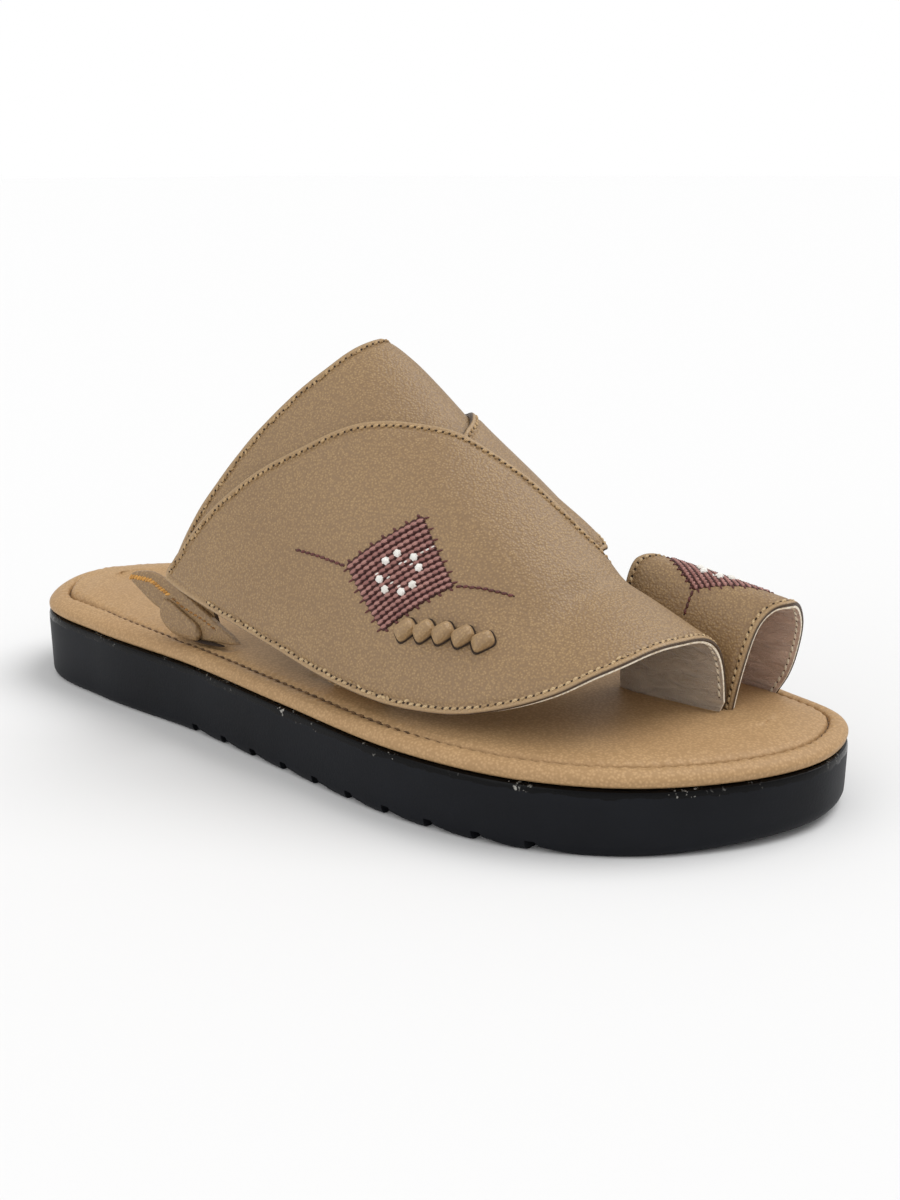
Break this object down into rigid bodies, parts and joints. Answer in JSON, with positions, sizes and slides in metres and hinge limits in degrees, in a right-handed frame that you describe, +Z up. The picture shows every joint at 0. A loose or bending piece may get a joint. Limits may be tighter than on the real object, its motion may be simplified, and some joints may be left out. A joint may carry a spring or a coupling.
{
  "type": "arabic sandal",
  "caption": "Open leather sandal for the right foot: rubber sole, padded insole, crossed instep straps, big-toe loop and a stitched diamond ornament.",
  "frame": {"origin": "on the floor under the middle of the sandal's box", "axes": "+X from heel to toe, +Y to the inner side of the foot, +Z up from the floor"},
  "size_m": [0.28, 0.1062, 0.1176],
  "materials": {
    "black_rubber": "moulded rubber, satin",
    "tan_insole": "smooth tan leatherette over foam",
    "tan_leather": "grained tan leather, semi-matt"
  },
  "bodies": {
    "root": {"outsole": "black_rubber", "insole": "tan_insole", "upper": "tan_leather", "toe_loop": "tan_leather", "ear": "tan_leather", "woven_knots": "tan_leather"}
  },
  "joints": []
}
